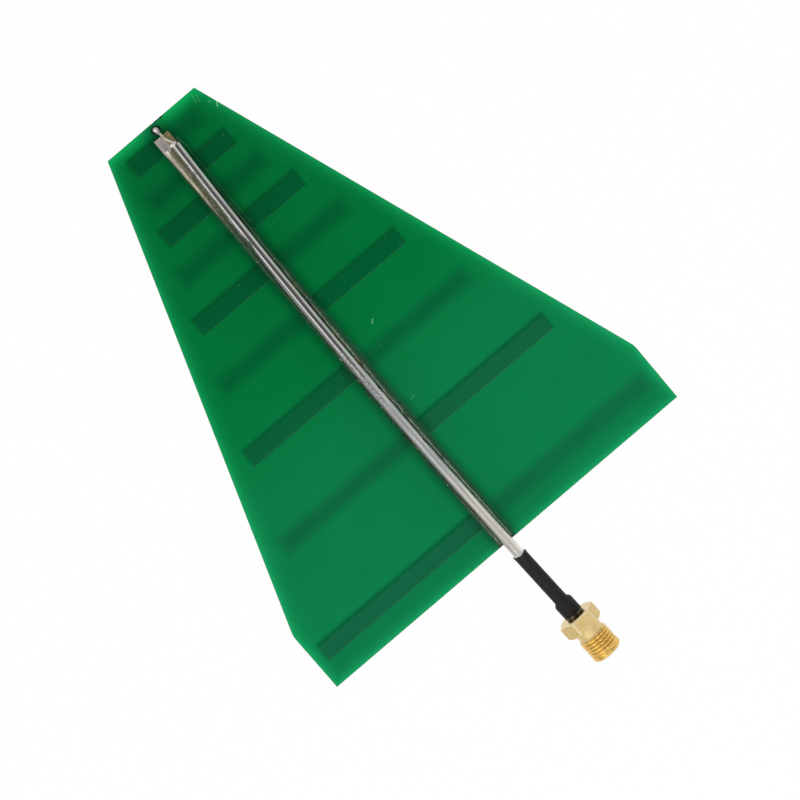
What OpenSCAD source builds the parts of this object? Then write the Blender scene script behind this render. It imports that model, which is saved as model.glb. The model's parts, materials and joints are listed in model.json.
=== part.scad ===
// Log-periodic antenna: printed dipoles on both sides of a tapered board, fed at the tip by a thin
// coaxial cable that is soldered along the upper boom and ends in a threaded jack behind the wide edge.
// Frame: +Z up, +Y towards the tip, origin on the board's underside at the middle of the boom. Millimetres.

/* [Dipoles] */
// Number of dipoles along the boom
dipole_count = 9; // [5:1:12]
// Half-length of the longest dipole, from the axis to the end of its strip
longest_half = 40.6; // [30:0.1:60]
// Length of each dipole as a ratio of its longer neighbour
length_ratio = 0.816; // [0.76:0.002:0.88]
// Spacing between neighbours as a ratio of the longer half-length
spacing_ratio = 0.51; // [0.4:0.01:0.7]
// Least spacing between neighbours, which rules near the tip
min_spacing = 6.8; // [6:0.1:10]
// Width of the printed strips
strip_w = 3.25; // [2:0.05:4.5]
// Width of the boom on both sides
boom_w = 3.3; // [2.8:0.1:5]

/* [Board] */
// Thickness of the bare laminate
laminate_t = 1.6; // [0.8:0.1:3.2]
// Thickness of the copper on each side
copper_t = 0.035; // [0.018:0.001:0.105]
// Thickness of the solder mask
mask_t = 0.03; // [0.015:0.005:0.06]
// Clearance of a mask opening round the copper that it leaves bare
mask_gap = 0.1; // [0.05:0.05:0.3]
// Clear board behind the longest dipole
rear_margin = 5; // [3:0.5:15]
// Clear board beside the longest dipole
side_margin = 2.4; // [1:0.1:6]
// Half-width of the tip edge beyond the shortest dipole
tip_margin = 2.65; // [1:0.05:6]
// Length of the parallel sides at the wide end
straight_len = 13; // [8:0.5:20]
// Radius of the shoulders where the parallel sides begin
shoulder_r = 5; // [1:0.5:20]

/* [Feed] */
// Distance of the feed hole from the tip edge
feed_inset = 1.5; // [1:0.1:3]
// Drilled diameter of the feed hole
feed_hole_d = 0.9; // [0.7:0.05:1.1]
// Thickness of the plating in the feed hole
plating_t = 0.04; // [0.02:0.01:0.06]
// Diameter of the land round the feed hole on the upper side
land_d = 1.5; // [1.3:0.1:2.2]
// Insulating gap between the land and the end of the upper boom
land_gap = 0.65; // [0.3:0.05:1.5]
// Height of the solder joint above the land
joint_top_h = 0.85; // [0.8:0.05:1.2]
// Depth of the solder joint under the lower boom
joint_bottom_h = 0.5; // [0.3:0.05:0.8]
// Height of the wire's lower bend above the land
wire_bend_h = 0.5; // [0.4:0.05:0.8]
// Straight stretch of bare wire at the end of the cable
wire_straight = 0.9; // [0.8:0.1:1.5]
// Set-back of the bends in the bare wire
wire_bend_r = 0.4; // [0.3:0.05:0.4]

/* [Cable] */
// Outer diameter of the cable's outer conductor
cable_d = 2.18; // [2:0.02:2.6]
// Diameter of the cable's dielectric
dielectric_d = 1.68; // [1.4:0.02:1.8]
// Diameter of the cable's centre wire
wire_d = 0.51; // [0.4:0.01:0.58]
// Distance from the end of the upper boom to the end of the outer conductor
strip_back = 3; // [2:0.1:6]
// Radius of the cable's slight bow along the boom
bow_r = 1200; // [900:50:3000]
// Distance from the wide edge to the middle of the bow
bow_middle = 39; // [30:1:60]
// Sideways offset of the cable at the middle of the bow
bow_shift = 0.46; // [0:0.02:0.8]
// Length of cable between the wide edge and the connector's ferrule
stub_len = 15.6; // [10:0.2:40]

/* [Boom solder] */
// Film of solder under the cable
film_t = 0.05; // [0.03:0.01:0.15]
// Width of the seam at its foot
seam_w = 3; // [2.4:0.1:3.2]
// Thickness of the seam at the edge of its foot
seam_edge_t = 0.08; // [0.05:0.01:0.2]
// Height up to which the seam climbs the cable
seam_h = 0.7; // [0.4:0.05:1]
// Allowance of the seam round the cable
seam_play = 0.01; // [0.01:0.005:0.03]
// Clear end of the boom behind the seam
seam_end = 0.6; // [0.2:0.1:3]

/* [Connector] */
// Diameter of the rear ferrule
ferrule_d = 3.3; // [3:0.05:4]
// Length of the rear ferrule behind the hexagon
ferrule_len = 3.6; // [2:0.1:6]
// Solder gap between the cable and the ferrule
ferrule_gap = 0.04; // [0.02:0.01:0.1]
// Length of the solder fillet behind the ferrule
fillet_len = 0.4; // [0.2:0.05:0.5]
// Distance across the flats of the hexagon
hex_af = 7.2; // [7:0.05:8]
// Length of the hexagon along the axis
hex_len = 3.15; // [2:0.05:5]
// Turn of the hexagon away from a flat on top, in degrees
hex_turn = 6.6; // [0:0.2:30]
// Radial size of the chamfer on the corners of the hexagon
hex_chamfer = 0.6; // [0.2:0.05:0.8]
// Slope of that chamfer against the hexagon's end faces, in degrees
hex_chamfer_angle = 30; // [20:1:45]
// Diameter of the neck between hexagon and thread
neck_d = 5.5; // [5.2:0.05:5.8]
// Length of the neck
neck_len = 1.65; // [1:0.05:3]
// Major diameter of the thread
thread_d = 6.35; // [6:0.05:7]
// Length of the thread
thread_len = 5; // [4:0.1:9]
// Chamfer at both ends of the thread
thread_chamfer = 0.4; // [0.2:0.05:0.5]
// Diameter of the mouth in the front face
mouth_d = 4.6; // [4.5:0.02:5]
// Depth of the mouth
mouth_depth = 1.9; // [1.5:0.05:2.5]
// Diameter of the insulator
insulator_d = 4.1; // [3.8:0.05:4.4]
// Depth of the cable's seat inside the hexagon
seat_depth = 1; // [0.5:0.1:2]
// Thickness of the web between the cable and the insulator
web_t = 0.6; // [0.4:0.05:1]
// Radial clearance round the contact in the web
web_gap = 0.3; // [0.2:0.05:0.4]
// Diameter of the centre contact
contact_d = 1.27; // [1.2:0.01:1.4]
// Length of the contact that stands out of the insulator at the back
contact_tail = 0.3; // [0.1:0.05:0.4]
// Reach of the cable's wire into the contact
wire_reach = 1.6; // [1:0.1:2]
// Diameter of the contact's socket
socket_d = 0.94; // [0.9:0.01:1]
// Depth of the contact's socket
socket_depth = 2.8; // [2:0.1:3]
// Width of the slots in the contact
slot_w = 0.2; // [0.1:0.05:0.3]

/* [Sleeve] */
// Distance from the wide edge to the start of the heat-shrink sleeve
sleeve_start = 3.1; // [1:0.1:8]
// Wall of the sleeve
sleeve_t = 0.32; // [0.2:0.02:0.5]
// Length of the sleeve's flare behind the ferrule
flare_len = 0.6; // [0.5:0.05:1.5]
// Gap between the sleeve and the hexagon
sleeve_gap = 0.2; // [0.05:0.05:1]

/* [Hidden] */

// Facets of round faces, sides and steps of swept parts, and the overshoot of cuts
round_fn = 48;
cable_sides = 20;
bow_steps = 16;
bend_steps = 4;
groove_steps = 16;
shoulder_steps = 6;
cut = 0.5;

// Dipoles are numbered from the longest (0), which lies nearest to the wide edge
function half_len(i) = longest_half * pow(length_ratio, i);
function spacing(i) = max(min_spacing, spacing_ratio * half_len(i));
function reach(i) = i == 0 ? 0 : reach(i - 1) + spacing(i - 1);
last = dipole_count - 1;

// Plan of the board
boom_inset = feed_inset + land_d / 2 + land_gap;
board_len = boom_inset + strip_w + reach(last) + rear_margin;
tip_y = board_len / 2;
wide_y = -board_len / 2;
wide_half = longest_half + side_margin;
tip_half = half_len(last) + tip_margin;
feed_y = tip_y - feed_inset;
boom_tip_y = tip_y - boom_inset;
lower_boom_tip_y = feed_y + land_d / 2;
function dipole_y(i) = wide_y + rear_margin + strip_w / 2 + reach(i);
// The upper side has the left half of the longest dipole, and the sides alternate from there
function upper_side(i) = i % 2 == 0 ? -1 : 1;

// Heights, from the underside of the mask on the lower boom
lower_copper_z = mask_t;
laminate_z = lower_copper_z + copper_t;
top_z = laminate_z + laminate_t;
boom_top_z = top_z + copper_t;
cable_z = boom_top_z + film_t + cable_d / 2;

// Bow of the cable, as angles about its centre; negative towards the tip
bow_y = wide_y + bow_middle;
bow_x = bow_r - bow_shift;
cable_tip_y = boom_tip_y - strip_back;
tip_angle = -asin((cable_tip_y - bow_y) / bow_r);
edge_angle = asin(bow_middle / bow_r);
seam_angle = asin((bow_middle - seam_end) / bow_r);
function bow_point(a) = [bow_x - bow_r * cos(a), bow_y - bow_r * sin(a), cable_z];
function bow_dir(a) = [sin(a), -cos(a), 0];

// Stations along the stub's axis, from the wide edge towards the jack's mouth
ferrule_s = stub_len;
hex_s = ferrule_s + ferrule_len;
seat_s = hex_s + seat_depth;
web_s = seat_s + web_t;
neck_s = hex_s + hex_len;
thread_s = neck_s + neck_len;
front_s = thread_s + thread_len;
mouth_s = front_s - mouth_depth;
contact_s = web_s - contact_tail;
ferrule_bore_d = cable_d + 2 * ferrule_gap;

// Routes of the swept cable parts, from the tip to the jack
function unit(v) = v / norm(v);
function stub_point(s) = bow_point(edge_angle) + s * bow_dir(edge_angle);
function bow_route(to) = [for (i = [0:bow_steps]) bow_point(tip_angle + (to - tip_angle) * i / bow_steps)];
function cable_route(end_s) = concat(bow_route(edge_angle), [stub_point(end_s)]);
// Rounded corner at c: a quadratic curve that starts and ends a set-back away from it
function bend(a, c, b, back) = let (p = c + back * unit(a - c), q = c + back * unit(b - c))
    [for (i = [0:bend_steps]) let (t = i / bend_steps, s = 1 - t) s * s * p + 2 * t * s * c + t * t * q];
hole_bottom = [0, feed_y, lower_copper_z - joint_bottom_h / 2];
hole_bend = [0, feed_y, boom_top_z + wire_bend_h];
cable_end = bow_point(tip_angle);
cable_bend = cable_end - wire_straight * bow_dir(tip_angle);
feed_route = concat(
    [hole_bottom],
    bend(hole_bottom, hole_bend, cable_bend, wire_bend_r),
    bend(hole_bend, cable_bend, cable_end, wire_bend_r)
);
// Sections are lists of points [across, up], clockwise; a sweep has one section for each point of its route
function disc(d) = [for (k = [0:cable_sides - 1]) let (a = 360 * k / cable_sides) d / 2 * [sin(a), cos(a)]];
function route_dir(p, i) = unit(p[min(i + 1, len(p) - 1)] - p[max(i - 1, 0)]);
function placed(p, sections) = [for (i = [0:len(p) - 1])
    let (dir = route_dir(p, i), up = unit(cross(dir, [1, 0, 0])), across = cross(dir, up))
    each [for (q = sections[i]) p[i] + q.x * across + q.y * up]];
function discs(p, d) = [for (q = p) disc(d)];
// Triangles of a band of sections of n points, and of the annulus between two of them
function band(start, count, n) = [for (i = [0:count - 2], k = [0:n - 1])
    let (a = start + i * n + k, b = start + i * n + (k + 1) % n)
    each [[a, a + n, b], [b, a + n, b + n]]];
function annulus(outer, inner, n) = [for (k = [0:n - 1])
    let (next = (k + 1) % n)
    each [[outer + k, outer + next, inner + k], [inner + k, outer + next, inner + next]]];
function flipped(faces) = [for (f = faces) [f[2], f[1], f[0]]];

// Places a shape whose +Z runs along the stub, starting at the wide edge
module on_stub() {
    translate(bow_point(edge_angle)) rotate([0, 0, edge_angle]) rotate([90, 0, 0]) children();
}

// Tube swept along a route
module swept_tube(route, outer_d, inner_d) {
    count = len(route);
    size = count * cable_sides;
    end = size - cable_sides;
    polyhedron(
        points = concat(placed(route, discs(route, outer_d)), placed(route, discs(route, inner_d))),
        faces = concat(
            band(0, count, cable_sides), flipped(band(size, count, cable_sides)),
            annulus(0, size, cable_sides), flipped(annulus(end, size + end, cable_sides))
        )
    );
}

// Solid swept along a route
module swept_solid(route, sections) {
    count = len(route);
    n = len(sections[0]);
    end = (count - 1) * n;
    polyhedron(
        points = placed(route, sections),
        faces = concat(
            band(0, count, n), [[for (k = [0:n - 1]) k]], [[for (k = [n - 1:-1:0]) end + k]]
        )
    );
}

// Dome of solder on a round foot
module dome(foot_d, h) {
    ball_r = (foot_d * foot_d / 4 + h * h) / (2 * h);
    intersection() {
        translate([0, 0, h - ball_r]) sphere(r = ball_r, $fn = round_fn);
        cylinder(r = 2 * ball_r, h = h, $fn = round_fn);
    }
}

// Tube on the stub's axis between two stations
module stub_rod(from, to, d) {
    translate([0, 0, from]) cylinder(d = d, h = to - from, $fn = round_fn);
}

// Outline of the board, with rounded shoulders
module outline() {
    shoulder_y = wide_y + straight_len;
    turn = atan2(wide_half - tip_half, tip_y - shoulder_y);
    center = [wide_half - shoulder_r, shoulder_y - shoulder_r * tan(turn / 2)];
    shoulder = [for (i = [0:shoulder_steps]) let (a = turn * i / shoulder_steps)
        center + shoulder_r * [cos(a), sin(a)]];
    right = concat([[wide_half, wide_y]], shoulder, [[tip_half, tip_y]]);
    left = [for (i = [len(right) - 1:-1:0]) [-right[i].x, right[i].y]];
    polygon(concat(right, left));
}

// Dipole halves of one side (1 for the upper, -1 for the lower), each grown by a margin
module strips(side, grow) {
    for (i = [0:last]) {
        dir = side * upper_side(i);
        len = half_len(i) + grow;
        translate([dir > 0 ? 0 : -len, dipole_y(i) - strip_w / 2 - grow]) square([len, strip_w + 2 * grow]);
    }
}

// Boom from the wide edge to its tip end, grown by a margin at its sides and tip
module boom(end_y, grow, overshoot) {
    translate([-boom_w / 2 - grow, wide_y - overshoot])
        square([boom_w + 2 * grow, end_y - wide_y + grow + overshoot]);
}

// Copper of one side that the solder mask covers: the strips, and on the lower side the boom too
module covered_copper(side, grow) {
    strips(side, grow);
    if (side < 0) boom(lower_boom_tip_y, grow, 0);
}

// Solder mask on the laminate's face, raised over the copper, with its outer side up
module mask(side) {
    difference() {
        union() {
            linear_extrude(mask_t) outline();
            linear_extrude(copper_t + mask_t) covered_copper(side, mask_t);
        }
        translate([0, 0, -copper_t]) linear_extrude(2 * copper_t) covered_copper(side, 0);
        if (side > 0) translate([0, 0, -cut]) linear_extrude(2 * cut) boom(boom_tip_y, mask_gap, cut);
        translate([0, feed_y, -cut]) cylinder(d = land_d + 2 * mask_gap, h = 2 * cut, $fn = round_fn);
    }
}

// Turns what is modelled outwards from the laminate's face on to the lower side
module lower_side() {
    translate([0, 0, laminate_z]) mirror([0, 0, 1]) children();
}

module laminate() {
    color([0.35, 0.62, 0.38]) difference() {
        translate([0, 0, laminate_z]) linear_extrude(laminate_t) outline();
        translate([0, feed_y, laminate_z - cut])
            cylinder(d = feed_hole_d, h = laminate_t + 2 * cut, $fn = round_fn);
    }
}

module top_copper() {
    color([0.72, 0.45, 0.28]) translate([0, 0, top_z]) linear_extrude(copper_t) {
        boom(boom_tip_y, 0, 0);
        strips(1, 0);
    }
}

module bottom_copper() {
    color([0.72, 0.45, 0.28]) difference() {
        translate([0, 0, lower_copper_z]) linear_extrude(copper_t) covered_copper(-1, 0);
        translate([0, feed_y, -cut]) cylinder(d = feed_hole_d, h = 2 * cut, $fn = round_fn);
    }
}

module top_solder_mask() {
    color([0.01, 0.42, 0.2]) translate([0, 0, top_z]) mask(1);
}

module bottom_solder_mask() {
    color([0.01, 0.42, 0.2]) lower_side() mask(-1);
}

module feed_via() {
    color([0.78, 0.78, 0.76]) translate([0, feed_y, 0]) difference() {
        union() {
            translate([0, 0, lower_copper_z])
                cylinder(d = feed_hole_d, h = boom_top_z - lower_copper_z, $fn = round_fn);
            translate([0, 0, top_z]) cylinder(d = land_d, h = copper_t, $fn = round_fn);
        }
        translate([0, 0, -cut])
            cylinder(d = feed_hole_d - 2 * plating_t, h = boom_top_z + 2 * cut, $fn = round_fn);
    }
}

module feed_solder() {
    color([0.75, 0.74, 0.72]) difference() {
        translate([0, feed_y, 0]) {
            translate([0, 0, lower_copper_z])
                cylinder(d = feed_hole_d - 2 * plating_t, h = boom_top_z - lower_copper_z, $fn = round_fn);
            translate([0, 0, boom_top_z]) dome(land_d, joint_top_h);
            translate([0, 0, lower_copper_z]) mirror([0, 0, 1]) dome(land_d, joint_bottom_h);
        }
        swept_solid(feed_route, discs(feed_route, wire_d));
    }
}

// Solder that climbs both sides of the cable; its foot stays on the boom
module boom_solder() {
    route = bow_route(seam_angle);
    foot = -cable_d / 2 - film_t;
    edge = foot + seam_edge_t;
    groove_r = cable_d / 2 + seam_play;
    crest_angle = acos(-(foot + seam_h) / groove_r);
    // Angle up to which a side climbs: at most to where a straight flank from its edge touches the cable
    function climb(reach) = min(crest_angle, atan2(reach, -edge) + acos(groove_r / norm([reach, edge])));
    function groove(from, to) = [for (k = [0:groove_steps]) let (a = from + (to - from) * k / groove_steps)
        groove_r * [sin(a), -cos(a)]];
    sections = [for (q = route)
        let (low = max(-seam_w / 2, q.x - boom_w / 2), high = min(seam_w / 2, q.x + boom_w / 2))
        concat([[low, foot], [low, edge]], groove(-climb(-low), climb(high)),
            [[high, edge], [high, foot]])];
    color([0.66, 0.63, 0.57]) swept_solid(route, sections);
}

module cable_outer_conductor() {
    color([0.8, 0.8, 0.8]) swept_tube(cable_route(seat_s), cable_d, dielectric_d);
}

module cable_dielectric() {
    color([0.93, 0.93, 0.9]) swept_tube(cable_route(seat_s), dielectric_d, wire_d);
}

module cable_center_wire() {
    route = concat(feed_route, cable_route(contact_s + wire_reach));
    color([0.85, 0.83, 0.78]) swept_solid(route, discs(route, wire_d));
}

module ferrule_solder() {
    fillet_t = (ferrule_d - cable_d) / 4;
    color([0.7, 0.69, 0.66]) on_stub() rotate_extrude($fn = round_fn) polygon([
        [cable_d / 2, ferrule_s - fillet_len], [cable_d / 2 + fillet_t, ferrule_s],
        [ferrule_bore_d / 2, ferrule_s], [ferrule_bore_d / 2, seat_s], [cable_d / 2, seat_s]
    ]);
}

module heat_shrink_sleeve() {
    end_s = hex_s - sleeve_gap;
    flare_s = ferrule_s - flare_len;
    color([0.1, 0.095, 0.09]) on_stub() rotate_extrude($fn = round_fn) polygon([
        [cable_d / 2, sleeve_start], [cable_d / 2 + sleeve_t, sleeve_start],
        [cable_d / 2 + sleeve_t, flare_s], [ferrule_d / 2 + sleeve_t, ferrule_s],
        [ferrule_d / 2 + sleeve_t, end_s], [ferrule_d / 2, end_s],
        [ferrule_d / 2, ferrule_s], [cable_d / 2, flare_s]
    ]);
}

module hexagon() {
    across_corners = hex_af / cos(30);
    corner_r = across_corners / 2;
    chamfer_len = 2 * hex_chamfer * tan(hex_chamfer_angle);
    intersection() {
        translate([0, 0, hex_s]) rotate([0, 0, -hex_turn])
            cylinder(d = across_corners, h = hex_len, $fn = 6);
        rotate_extrude($fn = round_fn) polygon([
            [0, hex_s], [corner_r - hex_chamfer, hex_s],
            [corner_r + hex_chamfer, hex_s + chamfer_len],
            [corner_r + hex_chamfer, neck_s - chamfer_len],
            [corner_r - hex_chamfer, neck_s], [0, neck_s]
        ]);
    }
}

module connector_body() {
    thread_r = thread_d / 2;
    color([0.86, 0.7, 0.38]) on_stub() difference() {
        union() {
            stub_rod(ferrule_s, seat_s, ferrule_d);
            hexagon();
            stub_rod(web_s, thread_s + thread_chamfer, neck_d);
            rotate_extrude($fn = round_fn) polygon([
                [0, thread_s], [thread_r - thread_chamfer, thread_s], [thread_r, thread_s + thread_chamfer],
                [thread_r, front_s - thread_chamfer], [thread_r - thread_chamfer, front_s], [0, front_s]
            ]);
        }
        stub_rod(ferrule_s - cut, seat_s, ferrule_bore_d);
        stub_rod(seat_s - cut, web_s + cut, contact_d + 2 * web_gap);
        stub_rod(web_s, front_s + cut, insulator_d);
        stub_rod(mouth_s, front_s + cut, mouth_d);
    }
}

module connector_insulator() {
    color([0.92, 0.92, 0.9]) on_stub() difference() {
        stub_rod(web_s, mouth_s, insulator_d);
        stub_rod(web_s - cut, mouth_s + cut, contact_d);
    }
}

module connector_contact() {
    socket_s = mouth_s - socket_depth;
    color([0.88, 0.72, 0.4]) on_stub() difference() {
        stub_rod(contact_s, mouth_s, contact_d);
        stub_rod(contact_s - cut, contact_s + wire_reach, wire_d);
        stub_rod(socket_s, mouth_s + cut, socket_d);
        for (turn = [0, 90]) translate([0, 0, socket_s]) rotate([0, 0, turn])
            translate([-contact_d, -slot_w / 2, 0]) cube([2 * contact_d, slot_w, socket_depth + cut]);
    }
}

laminate();
top_copper();
bottom_copper();
top_solder_mask();
bottom_solder_mask();
feed_via();
feed_solder();
boom_solder();
cable_outer_conductor();
cable_dielectric();
cable_center_wire();
ferrule_solder();
heat_shrink_sleeve();
connector_body();
connector_insulator();
connector_contact();
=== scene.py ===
"""Looks of a printed log-periodic antenna: a green tapered board with a thin cable soldered along its
boom, a heat-shrink sleeve and a gold-plated jack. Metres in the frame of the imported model, +Z up and +Y
along the boom towards the narrow tip; materials work in millimetres."""

import json
import random
from math import acos, atan2, cos, hypot, pi, radians, sin, sqrt, tan

import bpy
from mathutils import Matrix, Vector, noise


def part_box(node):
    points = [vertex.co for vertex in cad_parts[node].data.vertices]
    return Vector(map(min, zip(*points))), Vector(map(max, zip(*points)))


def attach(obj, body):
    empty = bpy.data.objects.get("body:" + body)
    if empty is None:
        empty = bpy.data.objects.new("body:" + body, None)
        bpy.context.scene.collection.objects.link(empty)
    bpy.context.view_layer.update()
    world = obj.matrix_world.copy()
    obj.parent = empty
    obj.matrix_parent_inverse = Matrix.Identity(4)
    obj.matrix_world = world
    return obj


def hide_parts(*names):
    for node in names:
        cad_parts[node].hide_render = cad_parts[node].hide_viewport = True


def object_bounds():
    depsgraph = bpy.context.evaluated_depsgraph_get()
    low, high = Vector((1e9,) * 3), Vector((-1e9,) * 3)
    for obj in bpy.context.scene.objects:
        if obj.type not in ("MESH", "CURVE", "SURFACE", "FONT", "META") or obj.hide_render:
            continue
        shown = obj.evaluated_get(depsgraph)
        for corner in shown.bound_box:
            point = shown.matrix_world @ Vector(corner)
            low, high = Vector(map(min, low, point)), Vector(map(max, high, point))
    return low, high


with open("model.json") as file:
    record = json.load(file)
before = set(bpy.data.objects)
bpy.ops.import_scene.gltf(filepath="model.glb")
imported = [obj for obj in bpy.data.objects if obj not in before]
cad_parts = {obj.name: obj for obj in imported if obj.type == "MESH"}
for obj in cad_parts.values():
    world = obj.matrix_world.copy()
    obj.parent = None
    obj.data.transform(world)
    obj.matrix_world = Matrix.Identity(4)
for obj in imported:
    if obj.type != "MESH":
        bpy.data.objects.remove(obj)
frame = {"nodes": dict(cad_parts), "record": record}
cad_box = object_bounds()
nodes = frame["nodes"]

MM = 0.001
UP = Vector((0, 0, 1))

# Camera, as it stood over the board
CAMERA_PLACE = Vector((2.02, 13.29, 343.4)) * MM
CAMERA_TILT = radians(5.19)
BOOM_ANGLE = radians(49.54)  # of the boom below the picture's horizontal
CAMERA_LENS = 81.0
CAMERA_NEAR = 0.01

# Cable: a slight bow along the boom, then a straight stub to the jack
CABLE_R = 1.09 * MM
DIELECTRIC_R = 0.84 * MM
WIRE_R = 0.255 * MM
BOW_R = 1200 * MM
BOW_MIDDLE = 39 * MM
BOW_SHIFT = 0.46 * MM
CABLE_TIP_INSET = 5.9 * MM
FEED_INSET = 1.5 * MM
BOOM_HALF = 1.65 * MM
LAND_R = 0.75 * MM
HOLE_R = 0.41 * MM

# Stations along the stub, from the wide edge to the jack's front
SLEEVE_START = 3.1 * MM
FERRULE_S = 15.6 * MM
SLEEVE_END = 19.18 * MM
HEX_S = 19.2 * MM
SEAT_S = 20.2 * MM
WEB_S = 20.8 * MM
WIRE_END_S = 22.1 * MM
NECK_S = 22.35 * MM
THREAD_S = 24.0 * MM
MOUTH_S = 27.1 * MM
FRONT_S = 29.0 * MM

# Jack and sleeve
FERRULE_R = 1.65 * MM
FERRULE_BORE_R = 1.13 * MM
WEB_R = 0.935 * MM
SLEEVE_T = 0.32 * MM
MOUTH_CUT = 0.24 * MM  # the sleeve's mouth is cut back on top and reaches further on the left
FLARE_LEN = 0.7 * MM
LIP_LEN = 0.6 * MM
HEX_AF = 7.2 * MM
HEX_TURN = radians(6.6)
HEX_FACE_R = 3.557 * MM
HEX_SLOPE = tan(radians(30))
NECK_R = 2.75 * MM
THREAD_R = 3.175 * MM
THREAD_DEPTH = 0.36 * MM
THREAD_PITCH = 0.7056 * MM
THREAD_LEAD = 0.95 * MM
THREAD_CHAMFER = 0.4 * MM
GROOVE_SHARE = 0.84
CREST_ROUNDING = 1.3
MOUTH_R = 2.3 * MM
INSULATOR_R = 2.05 * MM

# Fineness of the meshes
CABLE_SIDES = 64
WIRE_SIDES = 16
SLEEVE_SIDES = 64
JACK_COLUMNS = 144
ROWS_PER_PITCH = 16
CABLE_STEP = 0.5 * MM
BORE_STEP = 4 * MM
WIRE_STEP = 1 * MM
SEAM_STEP = 0.35 * MM

# Places read from the frame
board_low, board_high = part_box("laminate")
TIP_Y = board_high.y
WIDE_Y = board_low.y
WIDE_HALF = board_high.x
BOOM_TOP_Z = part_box("top_copper")[1].z
LOWER_COPPER_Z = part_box("bottom_copper")[0].z
jack = next(m for m in frame["record"]["mounts"] if m["name"] == "jack_thread")
STUB_DIR = Vector(jack["axis"]).normalized()
STUB_SIDE = UP.cross(STUB_DIR)
CABLE_Z = jack["pos_m"][2]
BOW_X = BOW_R - BOW_SHIFT
BOW_Y = WIDE_Y + BOW_MIDDLE
CABLE_TIP_Y = TIP_Y - CABLE_TIP_INSET
FEED_Y = TIP_Y - FEED_INSET


def bow_x(y):
    """Sideways place of the cable's axis on its bow."""
    return BOW_X - sqrt(BOW_R ** 2 - (y - BOW_Y) ** 2)


EDGE_POINT = Vector((bow_x(WIDE_Y), WIDE_Y, CABLE_Z))
CABLE_END = Vector((bow_x(CABLE_TIP_Y), CABLE_TIP_Y, CABLE_Z))


def stub_point(s):
    """Point of the stub's axis at a station."""
    return EDGE_POINT + s * STUB_DIR


def around_stub(radius, s, angle):
    """Point round the stub's axis; angle 0 is up, and it grows towards +X."""
    return stub_point(s) + radius * (cos(angle) * UP + sin(angle) * STUB_SIDE)


def ease(value, start, end):
    """Rises smoothly from 0 at start to 1 at end; start may be the higher one."""
    share = min(1, max(0, (value - start) / (end - start)))
    return share * share * (3 - 2 * share)


def turns(count):
    """Angles of evenly spaced points of a ring."""
    return [2 * pi * k / count for k in range(count)]


def srgb(red, green, blue):
    """Linear colour of an sRGB one given in 0 to 255."""
    def linear(value):
        value /= 255
        return value / 12.92 if value <= 0.04045 else ((value + 0.055) / 1.055) ** 2.4
    return (linear(red), linear(green), linear(blue), 1)


def grey(level):
    """Neutral linear colour."""
    return (level, level, level, 1)


# Node trees

class Net:
    """A node tree, built by short calls in which numbers and sockets mix freely."""

    def __init__(self, tree):
        self.tree = tree

    def node(self, kind, **settings):
        node = self.tree.nodes.new("ShaderNode" + kind)
        for name, value in settings.items():
            setattr(node, name, value)
        return node

    def put(self, socket, value):
        if isinstance(value, bpy.types.NodeSocket):
            self.tree.links.new(value, socket)
        else:
            socket.default_value = value

    def fill(self, node, *values, **named):
        """Puts values into a node's first inputs, and named ones with underscores for spaces."""
        for socket, value in zip(node.inputs, values):
            self.put(socket, value)
        for name, value in named.items():
            self.put(node.inputs[name.replace("_", " ")], value)
        return node

    def number(self, operation, *values):
        return self.fill(self.node("Math", operation=operation), *values).outputs[0]

    def fold(self, operation, first, *others):
        for value in others:
            first = self.number(operation, first, value)
        return first

    def times(self, *values):
        return self.fold("MULTIPLY", *values)

    def plus(self, *values):
        return self.fold("ADD", *values)

    def least(self, *values):
        return self.fold("MINIMUM", *values)

    def most(self, *values):
        return self.fold("MAXIMUM", *values)

    def minus(self, first, second):
        return self.number("SUBTRACT", first, second)

    def vector(self, operation, *values):
        node = self.fill(self.node("VectorMath", operation=operation), *values)
        return node.outputs["Value" if operation in ("LENGTH", "DOT_PRODUCT") else "Vector"]

    def split(self, value):
        return self.fill(self.node("SeparateXYZ"), value).outputs

    def smooth(self, value, start, end):
        """Does what ease does, with sockets."""
        node = self.node("MapRange", interpolation_type="SMOOTHSTEP")
        return self.fill(node, value, start, end).outputs["Result"]

    def between(self, value, low, high):
        """Straight line from low, at value 0, to high, at value 1."""
        return self.fill(self.node("MapRange"), value, To_Min=low, To_Max=high).outputs["Result"]

    def mix(self, factor, first, second, blend="MIX"):
        node = self.node("Mix", data_type="RGBA", blend_type=blend)
        self.put(node.inputs[0], factor)
        self.put(node.inputs[6], first)
        self.put(node.inputs[7], second)
        return node.outputs[2]

    def cover(self, color, other, *shares):
        """Lays another colour over one, by the product of some shares."""
        return self.mix(self.times(*shares), color, other)

    def tint(self, color, share, *factors):
        """Multiplies a colour by three factors where share is 1."""
        return self.mix(share, color, (*factors, 1), "MULTIPLY")

    def ramp(self, value, *stops):
        """Colour ramp over stops of position and colour."""
        node = self.node("ValToRGB")
        elements = node.color_ramp.elements
        while len(elements) < len(stops):
            elements.new(1)
        for element, (position, color) in zip(elements, stops):
            element.position = position
            element.color = color
        return self.fill(node, value).outputs[0]

    def tones(self, value, *stops):
        """Colour ramp over stops of position and sRGB colour."""
        return self.ramp(value, *[(position, srgb(*color)) for position, *color in stops])

    def shaders(self, factor, first, second):
        return self.fill(self.node("MixShader"), factor, first, second).outputs[0]


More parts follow.
